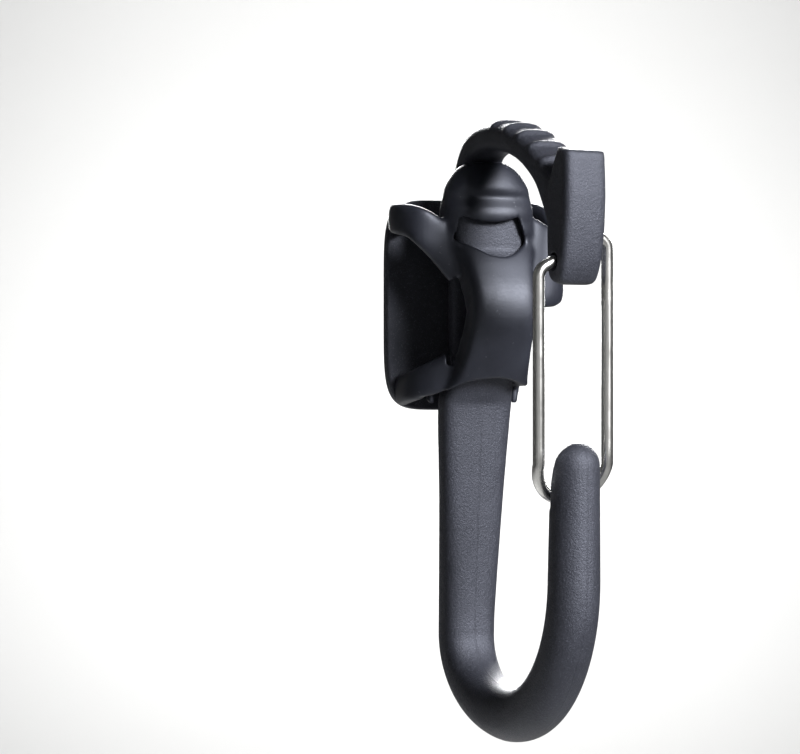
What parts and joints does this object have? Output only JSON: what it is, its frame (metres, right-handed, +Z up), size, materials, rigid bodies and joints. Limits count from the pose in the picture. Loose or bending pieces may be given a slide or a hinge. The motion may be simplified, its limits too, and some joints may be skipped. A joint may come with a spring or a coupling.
{
  "type": "harness gear carrier",
  "caption": "Harness gear carrier: a moulded hook with a sprung wire gate, held on webbing by a rubber keeper with a hood, saddle and arms on a back plate.",
  "frame": {"origin": "middle of the back plate's rear face, level with the webbing's middle", "axes": "+X out of the harness towards the gate, +Y across the webbing's face, +Z up"},
  "size_m": [0.0509, 0.033, 0.1117],
  "materials": {
    "nylon": "fine grained moulding",
    "plate_nylon": "fine grained moulding",
    "rubber": "smooth, semi-gloss",
    "stainless_wire": "drawn wire"
  },
  "bodies": {
    "carrier": {"hook_frame": "nylon", "rubber_keeper": "rubber", "back_plate": "plate_nylon"},
    "gate": {"wire_gate": "stainless_wire"}
  },
  "joints": [
    {"name": "gate_hinge", "type": "hinge", "parent": "carrier", "child": "gate", "pos_m": [0.0457, 0, 0.0088], "axis": [0, 0.8858, 0.464], "range_deg": [0, 30], "stiffness_Nm_per_rad": 0.1, "springref_deg": -34.38}
  ]
}
